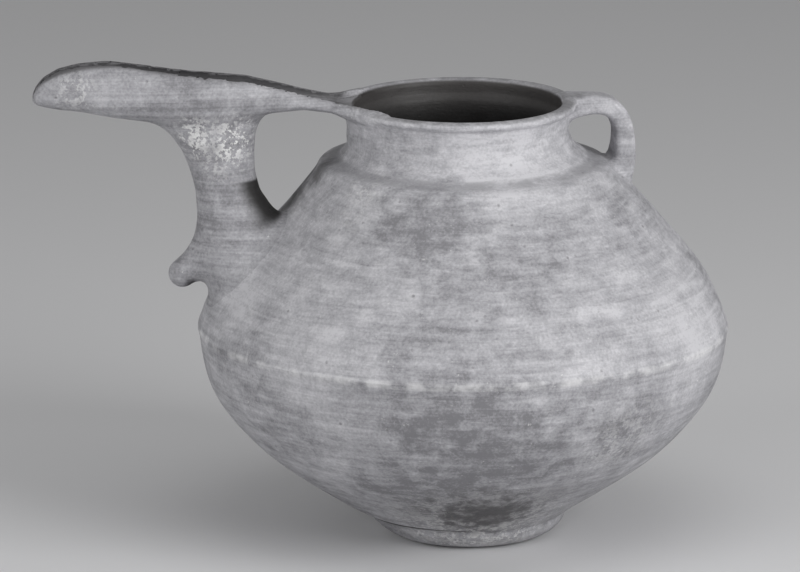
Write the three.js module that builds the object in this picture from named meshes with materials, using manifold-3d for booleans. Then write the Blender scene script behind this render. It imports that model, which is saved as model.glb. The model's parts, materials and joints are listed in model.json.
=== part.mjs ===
// A hand-built pottery jug with a long open beak spout, as it would be joined from its clay parts.
// Millimetres, +Z up. The origin is the centre of the foot's underside, and the spout points along -X.
import * as THREE from "three";
import { mergeVertices } from "three/addons/utils/BufferGeometryUtils.js";
import Module from "manifold-3d";

// The pot: a disc foot, a bowl, a shoulder, a neck and a rolled lip, one on top of the other
const footHeight = 9.2;
const footBaseRadius = 32;
const footRadius = 41.5;
const bowlHeight = 79.4;
const bellyRadius = 110;
const shoulderHeight = 68.7;
const shoulderTopRadius = 61.5;
const neckHeight = 22.3;
const neckRadius = 46;
const neckTopRadius = 47.2;
const lipHeight = 3.5;
const lipOverhang = 1.6;
const bowlWall = 5;
const bowlFloor = 6;
const neckWall = 4.5;

// The spout: a shallow channel leaves the lip as a bridge and deepens into a beak.
// Rises are counted from the rim, downwards where they are negative.
const beakLength = 79.5;
const beakWidth = 29;
const beakOpening = 13;
const beakCrownRise = 19.8;
const beakTipRise = 5.9;
const beakDepth = 23;
const bridgeWidth = 26.5;
const bridgeOpening = 18;
const bridgeRise = 5.6;
const bridgeDepth = 7;
const mouthFlare = 13;
const channelWall = 4;
const channelFloor = 2.8;
const mouthFloorDrop = 2;
const tipFloorRise = 5.9;

// The pillar under the beak and the knob at its foot
const pillarFootRise = 24;
const pillarWidth = 25.4;
const pillarDepth = 19;
const pillarHeadSpread = 21.5;
const pillarFootRun = 19;
const pillarFootSpread = 9.5;
const knobReach = 23.7;
const knobRise = 0.4;
const knobTipRadius = 5.8;
const knobRootHeight = 25;
const knobRootWidth = 16.5;

// The loop handle, opposite the spout
const loopReach = 22;
const loopWidth = 14;
const loopThickness = 7.6;
const loopRise = 1;
const loopFootFlare = 3.5;

// The clay joint between a piece and what it is pressed onto
const lutingGap = 0.3;

// Facets
const turns = 48;
const ringPoints = 20;

const bellyHeight = footHeight + bowlHeight;
const shoulderTop = bellyHeight + shoulderHeight;
const neckTop = shoulderTop + neckHeight;
const rimHeight = neckTop + lipHeight;
const mouthRadius = neckTopRadius - neckWall;
const lipRadius = neckTopRadius + lipOverhang;

const wasm = await Module();
wasm.setup();

const clayColours = {
  bowl: 0xa3a3a6,
  shoulder: 0xaaaaad,
  neck: 0xb0b0b3,
  spout: 0xa6a6a9,
  handle: 0xb2b2b5,
};

// A closed geometry as a solid that can be cut
function solidOf(geometry) {
  const bare = new THREE.BufferGeometry();
  bare.setAttribute("position", geometry.getAttribute("position"));
  bare.setIndex(geometry.getIndex());
  const merged = mergeVertices(bare, 1e-3);
  const index = merged.getIndex().array;
  const triangles = [];
  for (let i = 0; i < index.length; i += 3) {
    const [a, b, c] = index.slice(i, i + 3);
    if (a !== b && b !== c && c !== a) triangles.push(a, b, c);
  }
  const vertProperties = Float32Array.from(merged.getAttribute("position").array);
  const triVerts = Uint32Array.from(triangles);
  return new wasm.Manifold(new wasm.Mesh({ numProp: 3, vertProperties, triVerts }));
}

// And back again
function geometryOf(solid) {
  const mesh = solid.getMesh();
  const positions = new Float32Array(mesh.numVert * 3);
  for (let i = 0; i < mesh.numVert; i++) {
    for (let k = 0; k < 3; k++) positions[3 * i + k] = mesh.vertProperties[mesh.numProp * i + k];
  }
  const geometry = new THREE.BufferGeometry();
  geometry.setAttribute("position", new THREE.BufferAttribute(positions, 3));
  geometry.setIndex(Array.from(mesh.triVerts));
  geometry.computeVertexNormals();
  return geometry;
}

// The pot's outer line from the foot to the lip, as points of radius and height
const bowlLine = new THREE.CubicBezierCurve(
  new THREE.Vector2(footRadius, footHeight),
  new THREE.Vector2(footRadius + 0.58 * (bellyRadius - footRadius), footHeight + 0.31 * bowlHeight),
  new THREE.Vector2(bellyRadius, footHeight + 0.56 * bowlHeight),
  new THREE.Vector2(bellyRadius, bellyHeight),
).getPoints(11);

const shoulderLine = new THREE.CubicBezierCurve(
  new THREE.Vector2(bellyRadius, bellyHeight),
  new THREE.Vector2(bellyRadius - 0.5, bellyHeight + 0.23 * shoulderHeight),
  new THREE.Vector2(
    shoulderTopRadius + 0.48 * (bellyRadius - shoulderTopRadius),
    shoulderTop - 0.44 * shoulderHeight,
  ),
  new THREE.Vector2(shoulderTopRadius, shoulderTop),
).getPoints(9);

const neckLine = new THREE.CubicBezierCurve(
  new THREE.Vector2(shoulderTopRadius, shoulderTop),
  new THREE.Vector2(neckRadius + 0.22 * (shoulderTopRadius - neckRadius), shoulderTop + 0.16 * neckHeight),
  new THREE.Vector2(neckRadius - 2.5, shoulderTop + 0.4 * neckHeight),
  new THREE.Vector2(neckTopRadius, neckTop),
).getPoints(8);

// The same line moved square to itself: outwards, or inwards where the distance is negative
function shifted(line, distance) {
  return line.map((point, i) => {
    const before = line[Math.max(i - 1, 0)];
    const after = line[Math.min(i + 1, line.length - 1)];
    const along = after.clone().sub(before).normalize();
    return new THREE.Vector2(point.x + along.y * distance, point.y - along.x * distance);
  });
}

// The inner lines. Each starts on the point where the one below it ends, so neighbours share their seam.
const floorTop = footHeight + bowlFloor;
const bowlInside = shifted(bowlLine, -bowlWall).filter((point) => point.y > floorTop + 1);
bowlInside[bowlInside.length - 1] = new THREE.Vector2(bellyRadius - bowlWall, bellyHeight);
const shoulderInside = shifted(shoulderLine, -bowlWall);
shoulderInside[0] = bowlInside.at(-1);
const neckInside = shifted(neckLine, -neckWall);
neckInside[0] = shoulderInside.at(-1);
neckInside[neckInside.length - 1] = new THREE.Vector2(mouthRadius, neckTop);

function turned(points) {
  return new THREE.LatheGeometry(points, turns).rotateX(Math.PI / 2);
}

function band(outside, inside) {
  return turned([...outside, ...[...inside].reverse(), outside[0]]);
}

function onAxis(height) {
  return new THREE.Vector2(0, height);
}

function footShape() {
  const edge = new THREE.QuadraticBezierCurve(
    new THREE.Vector2(footBaseRadius, 0),
    new THREE.Vector2(footRadius - 0.8, 0.3 * footHeight),
    new THREE.Vector2(footRadius, footHeight),
  ).getPoints(4);
  return turned([onAxis(0), ...edge, onAxis(footHeight)]);
}

function bowlShape() {
  return turned([onAxis(footHeight), ...bowlLine, ...[...bowlInside].reverse(), onAxis(floorTop)]);
}

function lipShape() {
  const outside = [
    neckLine.at(-1),
    new THREE.Vector2(lipRadius - 0.3, neckTop + 0.25 * lipHeight),
    new THREE.Vector2(lipRadius, neckTop + 0.55 * lipHeight),
    new THREE.Vector2(lipRadius - 0.6, neckTop + 0.85 * lipHeight),
    new THREE.Vector2(0.5 * (lipRadius + mouthRadius) + 0.6, rimHeight),
    new THREE.Vector2(mouthRadius + 1.4, rimHeight - 0.15 * lipHeight),
    new THREE.Vector2(mouthRadius + 0.3, neckTop + 0.5 * lipHeight),
  ];
  return band(outside, [neckInside.at(-1)]);
}

// The pot filled in and one luting gap larger, which pieces pressed onto it are cut by
function potClearance() {
  const outline = [...bowlLine, ...shoulderLine.slice(1), ...neckLine.slice(1)];
  const points = shifted(outline, lutingGap);
  points.push(new THREE.Vector2(lipRadius + lutingGap, neckTop + 0.25 * lipHeight));
  points.push(new THREE.Vector2(lipRadius + lutingGap, rimHeight + lutingGap));
  return solidOf(turned([onAxis(footHeight), ...points, onAxis(rimHeight + lutingGap)]));
}

// Where the pot's upper outer line is this high, or this far from the axis
const upperLine = [...shoulderLine, ...neckLine.slice(1)];

function radiusAt(height) {
  const i = Math.max(1, upperLine.findIndex((point) => point.y >= height));
  const [low, high] = [upperLine[i - 1], upperLine[i]];
  return THREE.MathUtils.mapLinear(height, low.y, high.y, low.x, high.x);
}

function heightAt(radius) {
  const i = Math.max(1, upperLine.findIndex((point) => point.x <= radius));
  const [outer, inner] = [upperLine[i - 1], upperLine[i]];
  return THREE.MathUtils.mapLinear(radius, outer.x, inner.x, outer.y, inner.y);
}

// A skin over equal closed rings, with its two ends closed by the given triangles of a ring
function lofted(rings, endTriangles) {
  const count = rings[0].length;
  const last = (rings.length - 1) * count;
  const index = [];
  for (let i = 0; i < rings.length - 1; i++) {
    for (let j = 0; j < count; j++) {
      const a = i * count + j;
      const b = i * count + ((j + 1) % count);
      index.push(a, b, b + count, a, b + count, a + count);
    }
  }
  for (const [a, b, c] of endTriangles) index.push(c, b, a, last + a, last + b, last + c);
  const geometry = new THREE.BufferGeometry().setFromPoints(rings.flat());
  geometry.setIndex(index);
  geometry.computeVertexNormals();
  return geometry;
}

function fan(count) {
  return Array.from({ length: count - 2 }, (_, k) => [0, k + 1, k + 2]);
}

// Rows of values along a piece, with a smooth curve through each column
function smoothTable(rows) {
  const curve = new THREE.CubicInterpolant(
    rows.map((row) => row[0]),
    rows.flatMap((row) => row.slice(1)),
    rows[0].length - 1,
  );
  return (at) => Array.from(curve.evaluate(at));
}

// The channel of the spout. The pillar stands where its axis meets the shoulder.
const pillarX = -radiusAt(bellyHeight + pillarFootRise);
const pillarFoot = bellyHeight + pillarFootRise;
const tipX = pillarX - beakLength;
const rootX = -0.76 * neckTopRadius;
const seamAt = 0.79;

// At 0 the channel is inside the lip, at 1 over the pillar and at 2 at the tip of the beak.
// Columns: outer width, distance between the wall crests, crest rise, floor rise, underside rise
const [wide, open, flare, crown] = [bridgeWidth, bridgeOpening, mouthFlare, beakCrownRise];
const underHead = 0.64 * crown - 0.816 * beakDepth;

function bed(share) {
  return THREE.MathUtils.lerp(-mouthFloorDrop, tipFloorRise, share);
}

const channel = smoothTable([
  [0, wide + 2.1 * flare, open + 2.5 * flare, 0, bed(0), bed(0) - channelFloor],
  [0.1, wide + 1.6 * flare, open + 2 * flare, 0, bed(0.013), bed(0.013) - channelFloor],
  [0.21, wide + 0.5 * flare, open + 0.8 * flare, 0.3 * bridgeRise, bed(0.05), bed(0.05) - channelFloor],
  [0.32, wide, open + 0.15 * flare, 0.6 * bridgeRise, bed(0.266), bed(0.266) - channelFloor],
  [0.49, wide, open, bridgeRise, bed(0.405), bridgeRise - bridgeDepth],
  [0.7, 1.02 * wide, 1.03 * open, 0.46 * crown, bed(0.43), 0.46 * crown - 0.51 * beakDepth],
  [0.84, 0.98 * beakWidth, 1.5 * beakOpening, 0.59 * crown, bed(0.443), 0.59 * crown - 0.708 * beakDepth],
  [1, beakWidth, 1.3 * beakOpening, 0.64 * crown, bed(0.468), underHead],
  [1.15, 0.97 * beakWidth, 1.1 * beakOpening, 0.68 * crown, bed(0.519), 0.68 * crown - 0.87 * beakDepth],
  [1.38, 0.86 * beakWidth, beakOpening, 0.87 * crown, bed(0.633), 0.87 * crown - beakDepth],
  [1.58, 0.74 * beakWidth, 0.92 * beakOpening, 0.985 * crown, bed(0.759), crown - beakDepth],
  [1.745, 0.62 * beakWidth, 0.78 * beakOpening, 0.975 * crown, bed(0.861), crown - 0.86 * beakDepth],
  [1.85, 0.52 * beakWidth, 0.62 * beakOpening, 0.87 * crown, bed(0.924), 0.87 * crown - 0.714 * beakDepth],
  [1.93, 0.4 * beakWidth, 0.46 * beakOpening, 0.7 * crown, bed(0.975), 0.7 * crown - 0.511 * beakDepth],
  [1.975, 0.28 * beakWidth, 0.32 * beakOpening, 0.47 * crown, bed(1), 0.47 * crown - 0.261 * beakDepth],
  [2, 0.16 * beakWidth, 0.16 * beakOpening, beakTipRise, bed(0.911), beakTipRise - 0.074 * beakDepth],
]);

function channelX(at) {
  return at < 1 ? THREE.MathUtils.lerp(rootX, pillarX, at) : THREE.MathUtils.lerp(pillarX, tipX, at - 1);
}

// Points of one side of the channel's section as [across, height], from the middle out and up to the crest
const sideArc = 5;
const crestArc = 3;

function halfSection(half, crest, middle, low, high) {
  const points = [];
  for (let i = 0; i <= sideArc; i++) {
    const angle = (0.5 * Math.PI * i) / sideArc;
    points.push([half * Math.sin(angle), middle - (middle - low) * Math.cos(angle)]);
  }
  for (let i = 1; i <= crestArc; i++) {
    const angle = (0.5 * Math.PI * i) / crestArc;
    points.push([half - (half - crest) * (1 - Math.cos(angle)), middle + (high - middle) * Math.sin(angle)]);
  }
  return points;
}

// A whole line of the section, from the crest on one side round to the crest on the other
function wholeSection(x, side) {
  const far = [...side].reverse().map(([across, height]) => new THREE.Vector3(x, across, height));
  const near = side.slice(1).map(([across, height]) => new THREE.Vector3(x, -across, height));
  return [...far, ...near];
}

function channelSection(at, gap) {
  const [width, opening, crestRise, floorRise, underRise] = channel(at);
  const crest = rimHeight + crestRise;
  const under = rimHeight + underRise - gap;
  const floor = rimHeight + Math.min(floorRise, crestRise - 0.3 * (crestRise - underRise));
  const half = 0.5 * width + gap;
  const wall = Math.min(channelWall, 0.4 * width);
  const outerCrest = Math.min(0.5 * opening + 0.35 * wall, half - 0.2) + gap;
  const innerCrest = Math.max(0.5 * opening - 0.35 * wall, 0.12 * opening);
  const middle = under + 0.45 * (crest - under);
  const innerMiddle = Math.max(middle, floor + 0.3 * (crest - floor));
  const x = channelX(at);
  return {
    outer: wholeSection(x, halfSection(half, outerCrest, middle, under, crest + gap)),
    inner: wholeSection(x, halfSection(half - wall, innerCrest, innerMiddle, floor, crest)),
  };
}

const bridgeStations = [0, 0.06, 0.12, 0.18, 0.24, 0.32, 0.42, 0.54, 0.66, 0.74, seamAt];
const beakStations = [seamAt, 0.86, 0.93, 1, 1.1, 1.22, 1.36, 1.5, 1.63, 1.745, 1.83, 1.9, 1.95, 1.98, 2];

function channelPiece(stations) {
  const rings = stations.map((at) => {
    const { outer, inner } = channelSection(at, 0);
    return [...outer, ...inner.reverse()];
  });
  const count = rings[0].length;
  const ends = [];
  for (let k = 0; k < count / 2 - 1; k++) {
    ends.push([k, k + 1, count - 2 - k], [k, count - 2 - k, count - 1 - k]);
  }
  return solidOf(lofted(rings, ends));
}

// The channel filled in and one luting gap larger
function channelClearance(stations) {
  const rings = stations.map((at) => channelSection(at, lutingGap).outer);
  return solidOf(lofted(rings, fan(rings[0].length)));
}

// A level oval ring
function ovalRing(centre, halfLength, halfDepth) {
  return Array.from({ length: ringPoints }, (_, k) => {
    const angle = (2 * Math.PI * k) / ringPoints;
    return new THREE.Vector3(
      centre.x + halfLength * Math.cos(angle),
      centre.y + halfDepth * Math.sin(angle),
      centre.z,
    );
  });
}

// The pillar, from 0 at its foot to 1 at the underside of the beak.
// Columns: shares of the head's spread, of the foot's run up the shoulder and of its spread to the sides
const pillar = smoothTable([
  [-0.1, -0.3, 0.6, 0.5],
  [0, 0, 0.8, 0.9],
  [0.16, 0.12, 1, 1],
  [0.36, 0, 0.64, 0.55],
  [0.56, 0, 0.1, 0.1],
  [0.77, 0.2, -0.06, 0],
  [0.92, 0.53, 0, 0.05],
  [1.06, 1, 0.25, 0.15],
]);
const pillarHead = rimHeight + underHead;
const pillarStations = [-0.1, -0.02, 0.06, 0.15, 0.25, 0.36, 0.46, 0.57, 0.68, 0.78, 0.87, 0.95, 1.01, 1.06];

function pillarShape(gap) {
  const rings = pillarStations.map((at) => {
    const [head, run, spread] = pillar(at);
    const front = pillarX - 0.48 * pillarWidth - head * pillarHeadSpread - gap;
    const back = pillarX + 0.52 * pillarWidth + run * pillarFootRun + gap;
    const height = THREE.MathUtils.lerp(pillarFoot, pillarHead, at);
    const centre = new THREE.Vector3(0.5 * (front + back), 0, height);
    return ovalRing(centre, 0.5 * (back - front), 0.5 * pillarDepth + spread * pillarFootSpread + gap);
  });
  return solidOf(lofted(rings, fan(ringPoints)));
}

// A cosine or sine drawn out towards its ends, so that a ring's corners fill out
function fuller(value) {
  return Math.sign(value) * Math.abs(value) ** 0.78;
}

// Rings square to a line in the middle plane: each station is [x, z, half thickness, half width]
function strapRings(stations) {
  return stations.map(([x, z, halfThickness, halfWidth], i) => {
    const [beforeX, beforeZ] = stations[Math.max(i - 1, 0)];
    const [afterX, afterZ] = stations[Math.min(i + 1, stations.length - 1)];
    const across = new THREE.Vector2(afterZ - beforeZ, beforeX - afterX).normalize();
    return Array.from({ length: ringPoints }, (_, k) => {
      const angle = (2 * Math.PI * k) / ringPoints;
      const out = halfThickness * fuller(Math.cos(angle));
      return new THREE.Vector3(x + across.x * out, halfWidth * fuller(Math.sin(angle)), z + across.y * out);
    });
  });
}

// The knob: a blunt horn that leaves the pillar's foot, level or nearly so, and ends in a round tip
function knobShape() {
  const tip = new THREE.Vector2(pillarX - knobReach + knobTipRadius, pillarFoot + knobRise);
  const root = new THREE.Vector2(pillarX - 0.1 * pillarWidth, pillarFoot + 0.52 * knobRootHeight);
  const tipHalfWidth = 1.1 * knobTipRadius;
  const stations = [];
  for (const share of [0, 0.25, 0.5, 0.75]) {
    const halfHeight = THREE.MathUtils.lerp(0.5 * knobRootHeight, knobTipRadius, Math.sqrt(share));
    const halfWidth = THREE.MathUtils.lerp(0.5 * knobRootWidth, tipHalfWidth, share);
    stations.push([...root.clone().lerp(tip, share), halfHeight, halfWidth]);
  }
  const along = tip.clone().sub(root).normalize();
  for (const degrees of [0, 25, 50, 70, 84]) {
    const angle = THREE.MathUtils.degToRad(degrees);
    const place = tip.clone().addScaledVector(along, knobTipRadius * Math.sin(angle));
    stations.push([...place, knobTipRadius * Math.cos(angle), tipHalfWidth * Math.cos(angle)]);
  }
  return solidOf(lofted(strapRings(stations), fan(ringPoints)));
}

// The loop handle: a strap that leaves the lip level, turns over and comes down onto the shoulder
function loopShape() {
  const outX = lipRadius + loopReach - 0.5 * loopThickness;
  const topZ = rimHeight + loopRise - 0.5 * loopThickness;
  const footX = outX - 0.8;
  const footZ = heightAt(footX);
  const rise = topZ - footZ;
  const centreLine = new THREE.CatmullRomCurve3([
    new THREE.Vector3(neckTopRadius - 4, 0, topZ - 2),
    new THREE.Vector3(lipRadius, 0, topZ - 0.4),
    new THREE.Vector3(lipRadius + 0.5 * loopReach, 0, topZ),
    new THREE.Vector3(outX - 0.1 * loopReach, 0, topZ - 0.22 * rise),
    new THREE.Vector3(outX, 0, topZ - 0.55 * rise),
    new THREE.Vector3(footX, 0, footZ),
    new THREE.Vector3(footX - 0.2 * loopReach, 0, footZ - 1.3 * loopThickness),
  ]);
  const steps = 20;
  const stations = centreLine.getPoints(steps).map((point, i) => {
    const flare = loopFootFlare * Math.max(0, (2 * i) / steps - 1) ** 3;
    return [point.x, point.z, 0.5 * loopThickness + 0.6 * flare, 0.5 * loopWidth + flare];
  });
  return solidOf(lofted(strapRings(stations), fan(ringPoints)));
}

// The pieces, cut to sit on each other
const pot = potClearance();
const allStations = [...bridgeStations, ...beakStations.slice(1)];
const boreFoot = new THREE.Vector2(mouthRadius, neckTop - 4 * lipHeight);
const boreTop = new THREE.Vector2(mouthRadius, rimHeight + beakCrownRise);
const mouthBore = solidOf(turned([onAxis(boreFoot.y), boreFoot, boreTop, onAxis(boreTop.y)]));
const bridgeClearance = channelClearance(bridgeStations);
const spoutClearance = channelClearance(allStations);

const bridge = channelPiece(bridgeStations).subtract(mouthBore);
const beak = channelPiece(beakStations);
const pillarSolid = pillarShape(0).subtract(spoutClearance).subtract(pot);
const knob = knobShape().subtract(pillarShape(lutingGap)).subtract(pot);
const loop = loopShape().subtract(pot);
const neck = solidOf(band(neckLine, neckInside)).subtract(bridgeClearance);
const lip = solidOf(lipShape()).subtract(bridgeClearance);

const jug = new THREE.Group();

function addPiece(name, geometry, colour) {
  const color = clayColours[colour];
  const material = new THREE.MeshStandardMaterial({ color, roughness: 0.8, metalness: 0 });
  const mesh = new THREE.Mesh(geometry, material);
  mesh.name = name;
  jug.add(mesh);
}

addPiece("disc_foot", footShape(), "bowl");
addPiece("bowl", bowlShape(), "bowl");
addPiece("shoulder", band(shoulderLine, shoulderInside), "shoulder");
addPiece("neck", geometryOf(neck), "neck");
addPiece("rolled_lip", geometryOf(lip), "neck");
addPiece("spout_bridge", geometryOf(bridge), "spout");
addPiece("spout_beak", geometryOf(beak), "spout");
addPiece("spout_pillar", geometryOf(pillarSolid), "spout");
addPiece("pillar_knob", geometryOf(knob), "spout");
addPiece("loop_handle", geometryOf(loop), "handle");

export default jug;
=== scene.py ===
import json
import math
from functools import reduce

import bpy
import numpy as np
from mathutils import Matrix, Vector


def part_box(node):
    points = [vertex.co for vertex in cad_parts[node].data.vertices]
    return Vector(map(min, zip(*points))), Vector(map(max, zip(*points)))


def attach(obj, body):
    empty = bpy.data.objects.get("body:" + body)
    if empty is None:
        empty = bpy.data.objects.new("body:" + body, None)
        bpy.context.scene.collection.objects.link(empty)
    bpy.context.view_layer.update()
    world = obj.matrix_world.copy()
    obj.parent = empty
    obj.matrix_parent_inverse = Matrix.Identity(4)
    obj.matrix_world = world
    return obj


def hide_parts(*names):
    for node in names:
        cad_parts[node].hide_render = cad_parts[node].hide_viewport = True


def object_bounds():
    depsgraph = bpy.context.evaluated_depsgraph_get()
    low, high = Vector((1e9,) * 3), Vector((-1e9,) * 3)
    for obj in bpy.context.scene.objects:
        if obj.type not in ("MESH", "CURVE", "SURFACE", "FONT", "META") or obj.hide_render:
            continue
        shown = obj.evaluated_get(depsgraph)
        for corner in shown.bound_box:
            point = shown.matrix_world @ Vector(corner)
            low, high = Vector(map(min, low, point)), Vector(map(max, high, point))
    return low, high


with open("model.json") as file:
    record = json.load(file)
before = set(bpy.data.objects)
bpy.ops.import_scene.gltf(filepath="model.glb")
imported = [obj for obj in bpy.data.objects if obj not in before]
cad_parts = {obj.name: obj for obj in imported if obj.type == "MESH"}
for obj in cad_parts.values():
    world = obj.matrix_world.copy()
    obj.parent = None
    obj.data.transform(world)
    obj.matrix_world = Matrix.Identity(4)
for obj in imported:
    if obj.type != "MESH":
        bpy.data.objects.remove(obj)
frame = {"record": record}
cadLow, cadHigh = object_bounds()
mm = 0.001
print("frame loaded")


def edgeOf(node, corner, axis):  # one face of a node's box, in mm
    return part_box(node)[corner][axis] / mm


# heights and radii that the frame gives, in mm
footTop = edgeOf("disc_foot", 1, 2)
footRadius = edgeOf("disc_foot", 1, 0)
bellyZ = edgeOf("bowl", 1, 2)
bellyRadius = edgeOf("bowl", 1, 0)
shoulderTop = edgeOf("shoulder", 1, 2)
neckFootRadius = edgeOf("neck", 1, 0)
neckTop = edgeOf("rolled_lip", 0, 2)
rimZ = edgeOf("rolled_lip", 1, 2)
tipX = edgeOf("spout_beak", 0, 0)


def bezier(points, count=60):
    t = np.linspace(0, 1, count)[:, None]
    a, b, c, d = (np.array(p, float) for p in points)
    return (1 - t) ** 3 * a + 3 * t * (1 - t) ** 2 * b + 3 * t * t * (1 - t) * c + t ** 3 * d


def smoothed(values, width):
    kernel = np.hanning(width + 2)[1:-1]
    padded = np.pad(values, width // 2, mode="edge")
    return np.convolve(padded, kernel / kernel.sum(), mode="valid")[: len(values)]


def columns(rows, step, width):
    rows = np.array(rows, float)
    at = np.arange(rows[0, 0], rows[-1, 0] + step, step)
    return at, [smoothed(np.interp(at, rows[:, 0], rows[:, i]), width) for i in range(1, rows.shape[1])]


def blendMin(a, b, reach):
    h = np.maximum(reach - np.abs(a - b), 0) / reach
    return np.minimum(a, b) - h * h * reach * 0.25


def blendMax(a, b, reach):
    return -blendMin(-a, -b, reach)


def ramp(value, low, high):
    t = np.clip((value - low) / (high - low), 0, 1)
    return t * t * (3 - 2 * t)


def bell(value, centre, width):
    return np.exp(-((value - centre) / width) ** 2)


def ovalDistance(u, v, halfU, halfV):
    share = (u / halfU) ** 2 + (v / halfV) ** 2
    return (share - 1) / (2 * np.sqrt((u / halfU ** 2) ** 2 + (v / halfV ** 2) ** 2) + 1e-4)


pot = {
    "wall": 5.0,
    "leastWall": 3.5,
    "floor": 6.0,
    "floorRound": 8.0,
    "baseRadius": 31.0,  # of the ring that touches the table
    "baseRound": 2.2,
    "baseShift": 3.5,  # the foot was pressed on off centre, towards the handle
    "neckRadius": 46.0,
    "neckTopRadius": 47.2,
    "mouthRadius": 42.7,
    "lipReach": 3.1,
    "lipHalfHeight": 2.0,
    "lipWave": 0.25,
    "lean": 2.3,  # of the mouth, towards the spout
    "leanFrom": 135.0,  # the height where the lean starts
}

# the curves of the turned line, as shares of the width and the height that each of them crosses
curve = {
    "footLow": 0.2,
    "footHigh": 0.7,
    "bowlSpread": 0.58,
    "bowlRise": 0.31,
    "bowlUpright": 0.56,
    "shoulderUpright": 0.23,
    "shoulderSpread": 0.48,
    "shoulderFall": 0.44,
    "neckSpread": 0.22,
    "neckRise": 0.16,
    "neckWaist": 0.4,
    "waistDepth": 2.5,  # in mm
}

# the turned line of the pot, foot to neck, as a radius for each height
bowlHeight = bellyZ - footTop
shoulderHeight = shoulderTop - bellyZ
neckHeight = neckTop - shoulderTop
neckFlare = neckFootRadius - pot["neckRadius"]
footLine = bezier([
    (pot["baseRadius"], 0),
    (footRadius - 4, curve["footLow"] * footTop),
    (footRadius - 0.5, curve["footHigh"] * footTop),
    (footRadius, footTop),
])
bowlSpread = curve["bowlSpread"] * (bellyRadius - footRadius)
bowlLine = bezier([
    (footRadius, footTop),
    (footRadius + bowlSpread, footTop + curve["bowlRise"] * bowlHeight),
    (bellyRadius, footTop + curve["bowlUpright"] * bowlHeight),
    (bellyRadius, bellyZ),
])
shoulderSpread = curve["shoulderSpread"] * (bellyRadius - neckFootRadius)
shoulderLine = bezier([
    (bellyRadius, bellyZ),
    (bellyRadius - 0.5, bellyZ + curve["shoulderUpright"] * shoulderHeight),
    (neckFootRadius + shoulderSpread, shoulderTop - curve["shoulderFall"] * shoulderHeight),
    (neckFootRadius, shoulderTop),
])
neckLine = bezier([
    (neckFootRadius, shoulderTop),
    (pot["neckRadius"] + curve["neckSpread"] * neckFlare, shoulderTop + curve["neckRise"] * neckHeight),
    (pot["neckRadius"] - curve["waistDepth"], shoulderTop + curve["neckWaist"] * neckHeight),
    (pot["neckTopRadius"], neckTop),
])
turnedLine = np.concatenate([footLine, bowlLine[1:], shoulderLine[1:], neckLine[1:]])
lineZ = np.arange(0, rimZ + 12, 0.5)
lineRadius = smoothed(np.interp(lineZ, turnedLine[:, 1], turnedLine[:, 0]), 3)
lineSlope = np.gradient(lineRadius, lineZ)
lineShare = 1 / np.sqrt(1 + np.clip(lineSlope, -2.5, 2.5) ** 2)
innerRadius = smoothed(lineRadius - pot["wall"] / lineShare, 9)
innerRadius = np.minimum(innerRadius, lineRadius - pot["leastWall"])
innerRadius = np.where(lineZ > neckTop - 4, pot["mouthRadius"], innerRadius)
innerRadius = smoothed(innerRadius, 9)


hand = {
    "wobble": 0.35,
    "lowShoulder": 4.2,  # the shoulder sags where the spout stands
    "fullShoulder": 1.1,  # and swells on the handle's side
    "turnDepth": 0.7,  # how far the widest line stands out as a ridge
    "turnReach": 17.0,
    "turnWidth": 2.6,
    "rings": [  # round the neck's foot: height over it, how far it stands out, width
        (1.6, -1.2, 1.5),
        (-1.8, 0.5, 1.7),
        (6.5, -0.3, 1.8),
    ],
    "ribs": [  # scraped ribs below the spout: angle at top and foot, height of top and foot
        (-2.82, -2.66, 88, 50),
        (-2.52, -2.545, 95, 56),
    ],
    "ribHeight": 0.55,
    "ribWidth": 2.6,
    "ribRadius": 95.0,  # of the pot where the ribs are
}


def handMade(angle, z):  # what the potter's hands left on the turned line, in mm
    wobble = np.sin(2 * angle + 0.035 * z) + 0.7 * np.sin(3 * angle - 0.05 * z + 1.3)
    wobble = wobble + 0.5 * np.sin(5 * angle + 0.11 * z + 0.4)
    wobble = wobble + 0.4 * np.sin(0.23 * z + 1.5 * np.sin(angle))
    out = hand["wobble"] * (wobble - 1.2)  # 1.2 keeps it inside the frame's box
    spoutSide = bell(np.abs(angle), math.pi, 0.62)
    handleSide = bell(angle, 0, 0.9)
    out = out - hand["lowShoulder"] * spoutSide * ramp(z, 112, 138) * (1 - ramp(z, 158, 170))
    out = out + hand["fullShoulder"] * handleSide * ramp(z, 97, 112) * (1 - ramp(z, 140, 156))
    for height, proud, width in hand["rings"]:
        out = out + proud * bell(z, shoulderTop + height, width)
    besideTurn = bell(z, bellyZ, hand["turnReach"]) * (1 - bell(z, bellyZ, hand["turnWidth"]))
    out = out - hand["turnDepth"] * besideTurn
    ribs = 0
    for topAngle, footAngle, top, foot in hand["ribs"]:
        along = np.clip((top - z) / (top - foot), 0, 1)
        place = topAngle + (footAngle - topAngle) * along
        across = (angle - place) * hand["ribRadius"]
        ends = ramp(z, foot - 8, foot + 4) * (1 - ramp(z, top - 4, top + 6))
        ribs = ribs + bell(across, 0, hand["ribWidth"]) * ends
    return out + hand["ribHeight"] * ribs


def potDistance(x, y, z):  # outside of the pot, filled in
    shift = pot["baseShift"] * (1 - ramp(z, 0, footTop + 8))
    px = x - (-pot["lean"] * ramp(z, pot["leanFrom"], rimZ) + shift)
    reach = np.hypot(px, y)
    angle = np.arctan2(y, px)
    radius = np.interp(z, lineZ, lineRadius) + handMade(angle, z)
    wall = (reach - radius) * np.interp(z, lineZ, lineShare)
    wall = blendMax(wall, z - (rimZ - 1.8), 1)
    wall = blendMax(wall, -z, pot["baseRound"])
    lipMiddle = pot["mouthRadius"] + pot["lipReach"]
    lipZ = rimZ - pot["lipHalfHeight"] + pot["lipWave"] * np.sin(2 * angle + 0.6)
    lip = ovalDistance(reach - lipMiddle, z - lipZ, pot["lipReach"], pot["lipHalfHeight"])
    return blendMin(wall, lip, 0.9)


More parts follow.
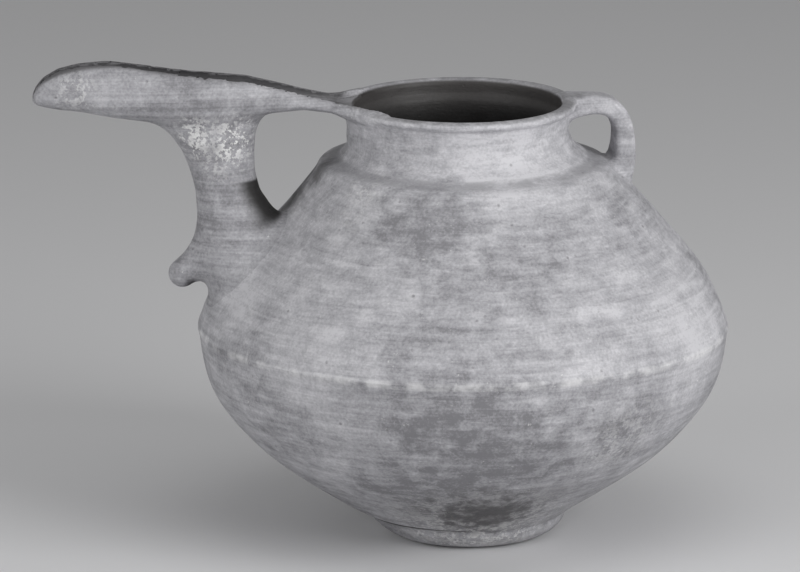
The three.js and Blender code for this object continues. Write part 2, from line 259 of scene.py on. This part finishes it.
def potInside(x, y, z):
    px = x + pot["lean"] * ramp(z, pot["leanFrom"], rimZ)
    reach = np.hypot(px, y)
    angle = np.arctan2(y, px)
    radius = np.interp(z, lineZ, innerRadius) + handMade(angle, z) * (1 - ramp(z, 140, 160))
    wall = (reach - radius) * np.interp(z, lineZ, lineShare)
    return blendMax(wall, footTop + pot["floor"] - z, pot["floorRound"])


channel = {
    "wall": 3.6,
    "narrowWall": 0.4,  # share of the width, where it is narrow
    "crestRound": 1.6,
    "tipRound": 2.4,
    "lowFarSide": 0.5,  # the crest on the far side is lower
    "crestWave": 0.25,
    "end": -34.0,  # it ends in the lip
    "rows": [  # x, half width, half distance of the crests, crest, floor and underside over the rim
        (-178.4, 2.4, 1.1, 5.9, 5.2, 4.0),
        (-176.5, 4.1, 2.1, 9.6, 5.6, 3.0),
        (-172.9, 6.0, 3.0, 14.0, 5.6, 1.9),
        (-166.6, 7.7, 4.0, 17.6, 5.3, 0.6),
        (-158.2, 9.2, 5.0, 19.1, 4.8, -0.4),
        (-145.0, 10.9, 5.9, 19.3, 4.0, -3.2),
        (-129.0, 12.6, 6.5, 17.3, 3.0, -5.6),
        (-111.0, 14.0, 7.1, 13.9, 2.1, -6.4),
        (-99.0, 14.4, 8.4, 12.7, 1.7, -6.0),
        (-89.0, 14.2, 9.5, 11.7, 1.5, -4.6),
        (-80.0, 13.5, 9.3, 9.2, 1.4, -2.8),
        (-67.0, 13.2, 9.0, 5.4, 1.1, -1.5),
        (-56.0, 13.6, 10.4, 3.0, -0.2, -2.9),
        (-49.0, 17.2, 14.6, 1.5, -1.7, -4.5),
        (-42.0, 23.6, 22.0, 0.0, -2.0, -5.0),
        (-34.0, 27.5, 26.0, 0.0, -2.0, -5.0),
    ],
}
channelX, channelColumns = columns(channel["rows"], 0.5, 9)


def channelUnderside(x):
    return rimZ + np.interp(x, channelX, channelColumns[4])


def channelDistances(x, y, z):  # its outside, filled in, and its inside, open to the top
    half, crestHalf, crest, floor, under = (np.interp(x, channelX, c) for c in channelColumns)
    crest = rimZ + crest - channel["lowFarSide"] * ramp(y, -2, 6)
    crest = crest + channel["crestWave"] * np.sin(0.16 * x)
    floor = rimZ + floor
    under = rimZ + under
    across = np.abs(y)
    middle = under + 0.45 * (crest - under)
    low = ovalDistance(across, z - middle, half, middle - under)
    arch = np.sqrt(np.clip(1 - ((z - middle) / (crest - middle)) ** 2, 0, 1))
    high = across - (crestHalf + 1.2) - (half - crestHalf - 1.2) * arch
    high = blendMax(high, z - crest, channel["crestRound"])
    outside = np.where(z < middle, low, high)
    outside = blendMax(outside, tipX + 0.15 - x, channel["tipRound"])
    outside = np.maximum(outside, x - channel["end"])
    wall = np.minimum(channel["wall"], channel["narrowWall"] * 2 * half)
    innerHalf = half - wall
    innerCrest = np.maximum(crestHalf - 1.5, 0.3 * crestHalf)
    innerMiddle = np.maximum(middle, floor + 0.3 * (crest - floor))
    innerLow = ovalDistance(across, z - innerMiddle, innerHalf, innerMiddle - floor)
    innerArch = np.sqrt(np.clip(1 - ((z - innerMiddle) / (crest - innerMiddle)) ** 2, 0, 1))
    inside = np.where(z < innerMiddle, innerLow, across - innerCrest - (innerHalf - innerCrest) * innerArch)
    return outside, np.maximum(inside, x - channel["end"] - 4)


pillar = {
    "foot": 96.0,  # it is sunk into the shoulder down to here
    "headSink": 4.0,
    "skew": 0.6,
    "rows": [  # z, front x, back x, half depth
        (96.0, -101.0, -76.0, 12.0),
        (106.0, -104.5, -75.0, 14.0),
        (113.0, -109.6, -72.0, 16.6),
        (122.0, -111.8, -70.0, 17.2),
        (130.0, -110.9, -72.5, 15.2),
        (137.0, -110.2, -77.0, 12.8),
        (148.0, -110.8, -84.4, 10.2),
        (156.0, -112.8, -86.4, 9.4),
        (165.0, -116.2, -86.6, 9.6),
        (172.0, -121.2, -86.0, 10.2),
        (178.0, -127.5, -84.0, 11.2),
        (186.0, -133.0, -82.0, 12.0),
    ],
}
pillarZ, pillarColumns = columns(pillar["rows"], 0.5, 11)


def pillarDistance(x, y, z):
    front, back, halfDepth = (np.interp(z, pillarZ, c) for c in pillarColumns)
    skew = pillar["skew"] * np.sin(0.05 * z)
    side = ovalDistance(x - 0.5 * (front + back), y - skew, 0.5 * (back - front), halfDepth)
    head = z - channelUnderside(x) - pillar["headSink"]
    return np.maximum(np.maximum(side, head), pillar["foot"] - z)


knob = {
    "root": (-102.5, 123.5),  # x and z of the axis
    "tip": (-116.6, 113.6),
    "rootRadius": 10.0,
    "tipRadius": 5.8,
    "flatness": 1.12,  # of its root, from side to side
}


def knobDistance(x, y, z):
    root, tip = np.array(knob["root"]), np.array(knob["tip"])
    along = tip - root
    t = np.clip(((x - root[0]) * along[0] + (z - root[1]) * along[1]) / (along @ along), 0, 1)
    radius = knob["rootRadius"] + (knob["tipRadius"] - knob["rootRadius"]) * np.sqrt(t)
    offX, offZ = x - root[0] - t * along[0], z - root[1] - t * along[1]
    squeeze = knob["flatness"] + (1 - knob["flatness"]) * t
    return np.sqrt(offX ** 2 + (y * squeeze) ** 2 + offZ ** 2) - radius


handle = {
    "line": [  # x and z, from the lip down to the shoulder
        (40.0, 177.6), (47.0, 179.6), (54.0, 180.3), (60.0, 179.4), (64.4, 175.6),
        (66.6, 169.6), (66.9, 162.6), (66.0, 155.0), (63.0, 145.0),
    ],
    "halfThickness": 3.9,
    "halfWidth": 6.7,
    "edgeRound": 2.6,
    "footFlare": 2.6,
    "headFlare": 1.2,
}


def handlePoints():
    line = np.array(handle["line"])
    at = np.arange(len(line))
    dense = np.linspace(0, len(line) - 1, 40)
    return np.stack([smoothed(np.interp(dense, at, line[:, i]), 5) for i in (0, 1)], 1)


strap = handlePoints()


def handleDistance(x, y, z):
    best = np.full(np.shape(x), 1e9)
    place = np.zeros(np.shape(x))
    for i in range(len(strap) - 1):
        a, along = strap[i], strap[i + 1] - strap[i]
        t = np.clip(((x - a[0]) * along[0] + (z - a[1]) * along[1]) / (along @ along), 0, 1)
        distance = np.hypot(x - a[0] - t * along[0], z - a[1] - t * along[1])
        nearer = distance < best
        best = np.where(nearer, distance, best)
        place = np.where(nearer, (i + t) / (len(strap) - 1), place)
    flare = handle["footFlare"] * ramp(place, 0.55, 1.0) + handle["headFlare"] * (1 - ramp(place, 0.0, 0.3))
    outX = best - (handle["halfThickness"] - handle["edgeRound"] + 0.5 * flare)
    outY = np.abs(y) - (handle["halfWidth"] - handle["edgeRound"] + flare)
    beyond = np.hypot(np.maximum(outX, 0), np.maximum(outY, 0))
    return beyond + np.minimum(np.maximum(outX, outY), 0) - handle["edgeRound"]


# how far the wet clay was smoothed over each joint, in mm
smears = {
    "knob": 5.0,
    "pillarFoot": 9.0,
    "channel": 4.5,
    "channelEdge": 0.8,
    "handle": 3.2,
    "mouthEdge": 0.6,
}
spoutFrom = -28.0  # the spout lies on this side of it
handleFrom = 34.0
handleAbove = 128.0


def jugDistance(x, y, z):
    solid = potDistance(x, y, z)
    near = x < spoutFrom
    if np.any(near):
        px, py, pz = x[near], y[near], z[near]
        outside, inside = channelDistances(px, py, pz)
        strut = blendMin(pillarDistance(px, py, pz), knobDistance(px, py, pz), smears["knob"])
        part = blendMin(solid[near], strut, smears["pillarFoot"])
        part = blendMin(part, outside, smears["channel"])
        solid[near] = blendMax(part, -inside, smears["channelEdge"])
    near = (x > handleFrom) & (z > handleAbove)
    if np.any(near):
        px, py, pz = x[near], y[near], z[near]
        solid[near] = blendMin(solid[near], handleDistance(px, py, pz), smears["handle"])
    return blendMax(solid, -potInside(x, y, z), smears["mouthEdge"])


# the surface of all that, as a net of quads over a grid
grid = {"step": 1.25, "margin": 3.0}


def surfaceNet():
    step = grid["step"]
    low = np.array(cadLow) / mm - grid["margin"]
    high = np.array(cadHigh) / mm + grid["margin"]
    axes = [np.arange(low[i], high[i] + step, step) for i in range(3)]
    gy, gz = np.meshgrid(axes[1], axes[2], indexing="ij")
    values = np.empty([len(a) for a in axes], np.float32)
    for i, x in enumerate(axes[0]):
        values[i] = jugDistance(np.full(gy.size, x), gy.ravel(), gz.ravel()).reshape(gy.shape)
    inside = values < 0
    corners = [(i, j, k) for i in (0, 1) for j in (0, 1) for k in (0, 1)]
    shape = [n - 1 for n in values.shape]

    def shiftedBy(array, c):
        return array[c[0]:c[0] + shape[0], c[1]:c[1] + shape[1], c[2]:c[2] + shape[2]]

    count = sum(shiftedBy(inside, c).astype(np.int8) for c in corners)
    cells = np.argwhere((count > 0) & (count < 8))
    number = np.full(shape, -1, np.int64)
    number[tuple(cells.T)] = np.arange(len(cells))
    total = np.zeros((len(cells), 3))
    crossings = np.zeros(len(cells))
    for a in corners:
        for axis in range(3):
            if a[axis]:
                continue
            b = list(a)
            b[axis] = 1
            va = values[tuple((cells + a).T)].astype(float)
            vb = values[tuple((cells + b).T)].astype(float)
            cut = (va < 0) != (vb < 0)
            share = np.where(cut, va / np.where(cut, va - vb, 1), 0)
            point = np.array(a, float) + share[:, None] * (np.array(b) - np.array(a))
            total += np.where(cut[:, None], point, 0)
            crossings += cut
    points = low + step * (cells + total / crossings[:, None])
    quads = []
    for axis in range(3):
        u, v = [(1, 2), (2, 0), (0, 1)][axis]
        first = [slice(None)] * 3
        second = [slice(None)] * 3
        first[axis], second[axis] = slice(0, -1), slice(1, None)
        changed = inside[tuple(first)] != inside[tuple(second)]
        at = np.argwhere(changed)
        keep = np.all([(at[:, w] > 0) & (at[:, w] < shape[w]) for w in (u, v)], axis=0)
        at = at[keep]
        outward = inside[tuple(first)][tuple(at.T)]
        ring = []
        for du, dv in ((-1, -1), (0, -1), (0, 0), (-1, 0)):
            cell = at.copy()
            cell[:, u] += du
            cell[:, v] += dv
            ring.append(number[tuple(cell.T)])
        ring = np.stack(ring, 1)
        quads.append(np.where(outward[:, None], ring, ring[:, ::-1]))
    return points, np.concatenate(quads)


def slopeAt(points, reach=0.3):
    slope = np.empty_like(points)
    for axis in range(3):
        step = np.zeros(3)
        step[axis] = reach
        slope[:, axis] = (jugDistance(*(points + step).T) - jugDistance(*(points - step).T)) / (2 * reach)
    return slope


def ontoSurface(points, rounds=2):
    for _ in range(rounds):
        slope = slopeAt(points)
        size = np.maximum((slope ** 2).sum(1), 0.05)
        move = jugDistance(*points.T)[:, None] * slope / size[:, None]
        points = points - np.clip(move, -0.8, 0.8)
    return points


pieceNames = [
    "disc_foot", "bowl", "shoulder", "neck", "rolled_lip",
    "spout_bridge", "spout_beak", "spout_pillar", "pillar_knob", "loop_handle",
]
pieceNumber = {name: number for number, name in enumerate(pieceNames)}

# where one clay piece ends and the next begins
seams = {
    "proud": 0.9,  # of the pot, for a face of the spout or the handle
    "pillarAbove": 100.0,
    "pillarBefore": -66.0,
    "knobBefore": -106.0,
    "knobEdge": 0.8,
    "channelEdge": 0.4,
    "bridgeFrom": 49.5,  # radius, just outside the lip
    "beakBefore": -86.0,
    "handleBeyond": 48.0,
    "handleAbove": 138.0,
}


def pieceOf(points):
    x, y, z = points.T
    kind = np.searchsorted([footTop, bellyZ, shoulderTop, neckTop], z)
    proud = potDistance(x, y, z) > seams["proud"]
    spout = (x < spoutFrom) & proud & (z > seams["pillarAbove"])
    inChannel = (z > channelUnderside(x) - seams["channelEdge"]) & (np.hypot(x, y) > seams["bridgeFrom"])
    knobNearer = knobDistance(x, y, z) < pillarDistance(x, y, z) - seams["knobEdge"]
    knobNearer = knobNearer & (x < seams["knobBefore"])
    strutKind = np.where(knobNearer, pieceNumber["pillar_knob"], pieceNumber["spout_pillar"])
    channelKind = np.where(x < seams["beakBefore"], pieceNumber["spout_beak"], pieceNumber["spout_bridge"])
    kind = np.where(spout & ~inChannel & (x < seams["pillarBefore"]), strutKind, kind)
    kind = np.where(spout & inChannel, channelKind, kind)
    onHandle = (x > seams["handleBeyond"]) & (z > seams["handleAbove"]) & proud
    return np.where(onHandle, pieceNumber["loop_handle"], kind)


def sharedEdges(quads):  # the two points of each edge, and the two faces that share it
    edges = np.concatenate([quads[:, [i, (i + 1) % 4]] for i in range(4)])
    owner = np.tile(np.arange(len(quads)), 4)
    edges.sort(axis=1)
    order = np.lexsort((edges[:, 1], edges[:, 0]))
    edges, owner = edges[order], owner[order]
    same = np.all(edges[1:] == edges[:-1], axis=1)
    return edges[1:][same], np.stack([owner[1:][same], owner[:-1][same]], 1)


def settledSeams(points, quads, kinds, rounds=6):  # draws each jagged seam out into a smooth line
    edges, sides = sharedEdges(quads)
    seam = edges[kinds[sides[:, 0]] != kinds[sides[:, 1]]]
    used = np.unique(seam)
    for _ in range(rounds):
        total = np.zeros_like(points)
        count = np.zeros(len(points))
        for a, b in ((0, 1), (1, 0)):
            np.add.at(total, seam[:, a], points[seam[:, b]])
            np.add.at(count, seam[:, a], 1)
        plain = used[count[used] == 2]
        points[plain] = 0.5 * points[plain] + 0.5 * total[plain] / 2
    points[used] = ontoSurface(points[used])
    return points


def islandsCleaned(quads, kinds, rounds=4):  # a face that sticks out goes to its neighbours' piece
    sides = sharedEdges(quads)[1]
    for _ in range(rounds):
        votes = np.zeros((len(quads), len(pieceNames)))
        for a, b in ((0, 1), (1, 0)):
            np.add.at(votes, (sides[:, a], kinds[sides[:, b]]), 1)
        own = votes[np.arange(len(quads)), kinds]
        kinds = np.where(own < 2, votes.argmax(1), kinds)
    return kinds


points, quads = surfaceNet()
points = ontoSurface(points)
print("surface net:", len(points), "points")
kinds = islandsCleaned(quads, pieceOf(points[quads].mean(1)))
points = settledSeams(points, quads, kinds)
normals = slopeAt(points)
normals /= np.linalg.norm(normals, axis=1)[:, None]


def clayPiece(name, faces):  # neighbours share their seam's points and normals, so none shows
    used, local = np.unique(faces, return_inverse=True)
    mesh = bpy.data.meshes.new(name)
    mesh.from_pydata((points[used] * mm).tolist(), [], local.reshape(faces.shape).tolist())
    mesh.polygons.foreach_set("use_smooth", np.ones(len(mesh.polygons), bool))
    mesh.update()
    mesh.normals_split_custom_set_from_vertices(normals[used].tolist())
    piece = bpy.data.objects.new(name + "_clay", mesh)
    bpy.context.scene.collection.objects.link(piece)
    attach(piece, "root")
    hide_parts(name)
    print(name, len(used), "points", len(faces), "faces")
    return piece


class Flow:  # a socket that can be reckoned with
    tree = None

    def __init__(self, socket):
        self.socket = socket

    @staticmethod
    def node(kind, settings=None, inputs=None, output=0):
        made = Flow.tree.nodes.new(kind)
        for key, value in (settings or {}).items():
            if key == "stops":
                while len(made.color_ramp.elements) < len(value):
                    made.color_ramp.elements.new(0.5)
                for element, (place, colour) in zip(made.color_ramp.elements, value):
                    element.position = place
                    element.color = colour
            else:
                setattr(made, key, value)
        for key, value in (inputs or {}).items():
            if isinstance(value, Flow):
                Flow.tree.links.new(value.socket, made.inputs[key])
            else:
                made.inputs[key].default_value = value
        return Flow(made.outputs[output])

    def apply(self, operation, *others):
        return Flow.node("ShaderNodeMath", {"operation": operation}, dict(enumerate((self, *others))))

    def __add__(self, other):
        return self.apply("ADD", other)

    def __sub__(self, other):
        return self.apply("SUBTRACT", other)

    def __mul__(self, other):
        return self.apply("MULTIPLY", other)

    def __truediv__(self, other):
        return self.apply("DIVIDE", other)

    __radd__ = __add__
    __rmul__ = __mul__

    def __rsub__(self, other):
        return Flow.node("ShaderNodeMath", {"operation": "SUBTRACT"}, {0: other, 1: self})

    def most(self, other):
        return self.apply("MAXIMUM", other)

    def between(self, low, high):  # 0 below low, 1 above high, smooth in between
        settings = {"interpolation_type": "SMOOTHSTEP"}
        return Flow.node("ShaderNodeMapRange", settings, {0: self, 1: low, 2: high, 3: 0.0, 4: 1.0})


def vectorOf(x, y, z):
    return Flow.node("ShaderNodeCombineXYZ", None, {0: x, 1: y, 2: z})


def noiseOf(place, scale, detail, rough, distortion=0.0):
    return Flow.node("ShaderNodeTexNoise", {"noise_dimensions": "3D"}, {
        "Vector": place, "Scale": scale, "Detail": detail, "Roughness": rough, "Distortion": distortion})


def mixed(share, first, second, blend="MIX"):
    settings = {"data_type": "RGBA", "blend_type": blend}  # sockets 6 and 7 hold its colours
    return Flow.node("ShaderNodeMix", settings, {0: share, 6: first, 7: second}, output=2)


clay = {
    "light": (0.60, 0.595, 0.62, 1),
    "middle": (0.415, 0.412, 0.435, 1),
    # dark is also the painted shade in the groove
    "dark": (0.22, 0.218, 0.232, 1),
    # channel is painted shade, for the channel's inside and the lip's top
    "channel": (0.085, 0.083, 0.086, 1),
    # the next colour is for soot stains and pits, and for the painted shadow under the bridge
    "sootAndShadow": (0.075, 0.072, 0.075, 1),
    # the next two colours are painted shade for the inside of the pot, the second for its deepest part
    "inside": (0.042, 0.038, 0.036, 1),
    "deepShade": (0.006, 0.005, 0.004, 1),
    # chalk is the white crust, and also the painted highlight along the widest line
    "chalk": (0.86, 0.855, 0.85, 1),
}

# white crust: x, y, z, reach in mm, strength
chalkSpots = [
    (-96, -12, 170, 17, 1.0), (-112, -11, 172, 14, 0.9), (-104, -10, 160, 10, 0.35), (-160, -8, 192, 14, 0.4),
    (-60, -50, 150, 20, 0.3), (0, -48, 20, 52, 0.85), (-45, -40, 155, 14, 0.35), (50, -85, 60, 30, 0.25),
]

# dark stains low on the body, and painted shadow on the shoulder under the bridge behind the pillar (the
# spots at x -60 to -80, z 144 to 158), the same way
stainAndShadowSpots = [
    (0, -62, 24, 36, 0.95), (24, -70, 36, 22, 0.4), (-26, -58, 22, 22, 0.45), (-72, 14, 144, 24, 0.75),
    (-60, 2, 155, 15, 0.8), (88, -40, 42, 26, 0.25), (-80, 10, 158, 10, 0.5),
]

# broad lighter and darker clouds: painted light on the right and left of the belly and on the front of the
# neck, painted shade on the upper left shoulder, elsewhere tone from the firing, and darker low on the front:
# x, y, z, reach in mm, change of tone
toneAndLightSpots = [
    (88, -60, 100, 40, 0.17), (55, -68, 122, 34, 0.08), (8, -45, 166, 42, 0.17), (-76, -78, 92, 26, 0.14),
    (-95, -25, 115, 26, 0.1), (3, -40, 4, 40, 0.06), (-22, -66, 146, 30, -0.18), (35, -66, 140, 22, -0.07),
    (0, -98, 58, 40, -0.17), (-28, -104, 76, 28, -0.09), (-34, -74, 36, 28, -0.14), (55, -84, 62, 28, -0.08),
    (-80, -62, 60, 26, -0.07), (0, 90, 120, 45, -0.12), (60, 70, 80, 42, 0.09), (-60, 80, 70, 40, -0.1),
    (-30, 70, 140, 34, 0.08), (20, 60, 30, 30, -0.15), (90, 30, 60, 34, -0.08), (-150, -6, 192, 30, 0.08),
]

# scale per mm, detail, roughness and distortion of each noise
noises = {
    "clouds": (0.022, 4.0, 0.6, 0.6),
    "mottle": (0.11, 5.0, 0.62, 0.3),
    "grain": (0.9, 3.0, 0.6),  # not distorted
    "strokes": (0.42, 4.0, 0.62, 0.4),
    "fineStrokes": (1.15, 2.0, 0.6),
    "edge": (0.16, 5.0, 0.68),
    "speck": (0.55, 3.0, 0.7),
}

# what the tone of the clay is made up of
tones = {"clouds": 0.5, "mottle": 0.72, "strokes": 0.62, "grain": 0.5, "level": 0.67}

# how strongly each mark covers the clay under it
covers = {
    "scratches": 0.16,
    "darkLines": 0.3,
    "pits": 0.5,
    "specks": 0.5,
    "lowBand": 0.35,
    # painted shade inside the pot
    "inside": 0.96,
    # painted shade on the lip's top
    "lipTopShade": 0.55,
    # painted shade in the groove
    "grooveShade": 0.6,
    # painted highlight along the widest line
    "ridgeHighlight": 0.36,
    # painted shade inside the channel
    "channel": 0.66,
}

finish = {
    "wrap": 9.0,  # how short a stroke is round the pot
    "roughness": 0.62,
    "specular": 0.42,
    "bump": 0.55,
    "bumpDepth": 0.0009,
}


def spotShares(place, spots, rough, fringe, fade):  # one share for each spot, with a ragged edge
    shares = []
    for x, y, z, reach, strength in spots:
        ends = {0: place, 1: (x, y, z)}
        distance = Flow.node("ShaderNodeVectorMath", {"operation": "DISTANCE"}, ends, output="Value")
        share = 1.0 - (distance + (rough - 0.5) * (fringe * reach)) / reach
        shares.append(share.between(0.0, fade) * strength)
    return shares


def toneAndLightField(place, rough):
    return reduce(Flow.__add__, spotShares(place, toneAndLightSpots, rough, 1.0, 0.8))


def spotMask(place, spots, rough):
    return reduce(Flow.most, spotShares(place, spots, rough, 1.3, 0.9))


def parted(vector):
    return (Flow.node("ShaderNodeSeparateXYZ", None, {0: vector}, output=i) for i in range(3))


def clayMaterial(name, tint, darkness=0.0):
    material = bpy.data.materials.new(name)
    material.use_nodes = True
    Flow.tree = material.node_tree
    metres = Flow.node("ShaderNodeTexCoord", output="Object")
    place = Flow.node("ShaderNodeVectorMath", {"operation": "SCALE"}, {0: metres, 3: 1 / mm})
    x, y, z = parted(place)
    reach = (x * x + y * y).apply("SQRT")
    wrapped = vectorOf(x / reach.most(5.0) * finish["wrap"], y / reach.most(5.0) * finish["wrap"], z)

    clouds, mottle, grain, edge, speck = (
        noiseOf(place, *noises[kind]) for kind in ("clouds", "mottle", "grain", "edge", "speck"))
    strokes, fineStrokes = (noiseOf(wrapped, *noises[kind]) for kind in ("strokes", "fineStrokes"))

    tone = clouds * tones["clouds"] + mottle * tones["mottle"] + strokes * tones["strokes"]
    # the broad spots add painted light and shade to the tone
    tone = tone + grain * tones["grain"] - (tones["level"] + darkness) + toneAndLightField(place, mottle)
    stops = [(0.22, clay["dark"]), (0.5, clay["middle"]), (0.74, clay["light"])]
    colour = mixed(1.0, Flow.node("ShaderNodeValToRGB", {"stops": stops}, {0: tone}), tint, "MULTIPLY")

    # burnishing strokes and pits
    scratches = fineStrokes.between(0.63, 0.74) * mottle.between(0.42, 0.62)
    colour = mixed(scratches * covers["scratches"], colour, clay["chalk"])
    darkLines = (1.0 - fineStrokes).between(0.64, 0.76) * clouds.between(0.45, 0.6)
    colour = mixed(darkLines * covers["darkLines"], colour, clay["dark"])
    cells = {"Vector": place, "Scale": 0.16, "Randomness": 1.0}
    pits = 1.0 - Flow.node("ShaderNodeTexVoronoi", {"feature": "F1"}, cells).between(0.05, 0.16)
    pits = pits * mottle.between(0.5, 0.66)
    colour = mixed(pits * covers["pits"], colour, clay["sootAndShadow"])

    # white crust, then dark marks: stains, painted shadow under the bridge behind the pillar, and a band
    # darker towards the bottom
    chalk = spotMask(place, chalkSpots, edge) * (speck * 0.6 + edge * 0.55).between(0.555, 0.63)
    specks = speck.between(0.64, 0.7) * edge.between(0.5, 0.62) * covers["specks"]
    colour = mixed(chalk.most(specks), colour, clay["chalk"])
    lowBand = (1.0 - z.between(8.0, 52.0)) * edge.between(0.35, 0.65) * covers["lowBand"]
    colour = mixed(spotMask(place, stainAndShadowSpots, edge).most(lowBand), colour, clay["sootAndShadow"])

    # painted shade inside the pot: the inside is where the surface looks back to the axis, and it is painted
    # dark, down to near black further below the rim
    leaning = x + pot["lean"]
    mouthReach = (leaning * leaning + y * y).apply("SQRT").most(1.0)
    nx, ny, nz = parted(Flow.node("ShaderNodeNewGeometry", output="Normal"))
    inward = 1.0 - ((leaning * nx + y * ny) / mouthReach).between(-0.5, 0.1)
    shell = (1.0 - mouthReach.between(45.4, 46.6)).most(1.0 - z.between(152.0, 154.0))
    throat = (1.0 - mouthReach.between(43.2, 44.2)) * z.between(footTop + 1, footTop + 2)
    inside = inward * shell * (1.0 - z.between(rimZ - 2.2, rimZ - 0.4))
    inside = inside.most(throat * (1.0 - z.between(rimZ - 1.5, rimZ)))
    # painted shade, darker further down inside
    shadeByDepth = mixed(z.between(rimZ - 16, rimZ - 1), clay["deepShade"], clay["inside"])
    colour = mixed(inside * covers["inside"], colour, shadeByDepth)

    # painted shade on the lip's upward faces, painted shade in the groove, and a painted highlight along the
    # ridge of the widest line
    lipTopShade = nz.between(0.55, 0.95) * z.between(rimZ - 3, rimZ - 1.5)
    lipTopShade = lipTopShade * (1.0 - mouthReach.between(50.0, 54.0))
    colour = mixed(lipTopShade * mottle.between(0.35, 0.6) * covers["lipTopShade"], colour, clay["channel"])
    # painted shade in the groove round the neck's foot
    offGroove = z - (shoulderTop + hand["rings"][0][0])
    grooveShade = (1.0 - (offGroove * offGroove).between(0.0, 2.6)) * (1.0 - reach.between(62.5, 64.0))
    colour = mixed(grooveShade * mottle.between(0.3, 0.6) * covers["grooveShade"], colour, clay["dark"])
    # painted highlight along the widest line, in the chalk colour
    offRidge = z - bellyZ
    ridgeHighlight = (1.0 - (offRidge * offRidge).between(0.0, 4.5)) * mottle.between(0.36, 0.62)
    colour = mixed(ridgeHighlight * covers["ridgeHighlight"], colour, clay["chalk"])

    # painted shade inside the channel: where its surface looks back to the middle line, or faces up near it
    offMiddle = (y * y).apply("SQRT")
    towardsMiddle = 1.0 - (y * ny / offMiddle.most(0.3)).between(-0.35, 0.25)
    channelFloor = nz.between(0.3, 0.8) * (1.0 - offMiddle.between(6.0, 9.5))
    inChannel = towardsMiddle.most(channelFloor) * (1.0 - x.between(-50.0, -43.0))
    inChannel = inChannel * z.between(180.5, 182.0)
    colour = mixed(inChannel * (covers["channel"] + mottle * 0.3), colour, clay["channel"])

    roughness = finish["roughness"] - strokes * 0.2 + grain * 0.12 + chalk * 0.25
    height = mottle * 0.35 + strokes * 0.3 + fineStrokes * 0.16 + grain * 0.16 - pits * 0.7 + chalk * 0.35
    dents = {"Height": height, "Strength": finish["bump"], "Distance": finish["bumpDepth"]}
    bump = Flow.node("ShaderNodeBump", None, dents)
    shader = Flow.tree.nodes["Principled BSDF"]
    shader.inputs["Specular IOR Level"].default_value = finish["specular"]
    for key, value in {"Base Color": colour, "Roughness": roughness, "Normal": bump}.items():
        Flow.tree.links.new(value.socket, shader.inputs[key])
    return material


# a colour to multiply with, and how much darker the clay is
materials = {
    "bowl_clay": clayMaterial("bowlClay", (0.95, 0.95, 0.95, 1), 0.05),
    "shoulder_clay": clayMaterial("shoulderClay", (0.98, 0.98, 0.98, 1)),
    "neck_clay": clayMaterial("neckClay", (1.0, 1.0, 1.0, 1)),
    "spout_clay": clayMaterial("spoutClay", (0.93, 0.93, 0.93, 1), 0.1),
    "handle_clay": clayMaterial("handleClay", (1.0, 1.0, 1.0, 1)),
}
slotOf = {row["node"]: row["material_slot"] for row in frame["record"]["subparts"]}

for number, name in enumerate(pieceNames):
    piece = clayPiece(name, quads[kinds == number])
    piece.data.materials.append(materials[slotOf[name]])
print("pieces made")


room = {
    "halfSide": 14.0,
    "floorColour": (0.72, 0.72, 0.73, 1),
    "floorRoughness": 0.9,
    "worldColour": (1.0, 1.0, 1.0, 1),
    "worldStrength": 0.26,
}


def studio():
    side = room["halfSide"]
    mesh = bpy.data.meshes.new("floor")
    corners = [(-side, -side, 0), (side, -side, 0), (side, side, 0), (-side, side, 0)]
    mesh.from_pydata(corners, [], [(0, 1, 2, 3)])
    paper = bpy.data.materials.new("floorPaper")
    paper.use_nodes = True
    shader = paper.node_tree.nodes["Principled BSDF"]
    shader.inputs["Base Color"].default_value = room["floorColour"]
    shader.inputs["Roughness"].default_value = room["floorRoughness"]
    floor = bpy.data.objects.new("floor", mesh)
    floor.data.materials.append(paper)
    bpy.context.scene.collection.objects.link(floor)

    world = bpy.data.worlds.new("studio")
    bpy.context.scene.world = world
    world.use_nodes = True
    background = world.node_tree.nodes["Background"]
    background.inputs["Color"].default_value = room["worldColour"]
    background.inputs["Strength"].default_value = room["worldStrength"]


lamps = {  # azimuth from the front and elevation in degrees, watts, metres
    "right": {"azimuth": 42, "elevation": 22, "power": 13.5, "size": 0.9},
    "left": {"azimuth": -60, "elevation": 18, "power": 6.5, "size": 0.9},
    "above": {"azimuth": 10, "elevation": 72, "power": 3.5, "size": 1.2},
}
lampDistance = 1.5
lampAim = Vector((0, 0, 0.1))


def directionOf(azimuth, elevation):
    a, e = math.radians(azimuth), math.radians(elevation)
    return Vector((math.sin(a) * math.cos(e), -math.cos(a) * math.cos(e), math.sin(e)))


def addLamp(name, azimuth, elevation, power, size):
    data = bpy.data.lights.new(name, "AREA")
    data.shape = "DISK"
    data.size = size
    data.energy = power
    lamp = bpy.data.objects.new(name, data)
    back = directionOf(azimuth, elevation)
    lamp.location = lampAim + back * lampDistance
    lamp.rotation_mode = "QUATERNION"
    lamp.rotation_quaternion = back.to_track_quat("Z", "Y")
    bpy.context.scene.collection.objects.link(lamp)


camera = {
    "distance": 2.6,
    "lens": 282.4,
    "azimuth": -8.0,
    "elevation": 13.54,
    "sight": 60.0,  # how far it sees
    "across": -0.026,  # of the point looked at, from the pot's axis
    "height": 0.1041,
}


def addCamera():
    data = bpy.data.cameras.new("camera")
    data.lens = camera["lens"]
    data.clip_end = camera["sight"]
    viewer = bpy.data.objects.new("camera", data)
    back = directionOf(camera["azimuth"], camera["elevation"])
    a = math.radians(camera["azimuth"])
    aim = camera["across"] * Vector((math.cos(a), math.sin(a), 0)) + Vector((0, 0, camera["height"]))
    viewer.location = aim + back * camera["distance"]
    viewer.rotation_mode = "QUATERNION"
    viewer.rotation_quaternion = back.to_track_quat("Z", "Y")
    bpy.context.scene.collection.objects.link(viewer)
    bpy.context.scene.camera = viewer


studio()
for name, lamp in lamps.items():
    addLamp(name, **lamp)
addCamera()
bpy.context.scene.view_settings.view_transform = "Standard"
print("studio made")
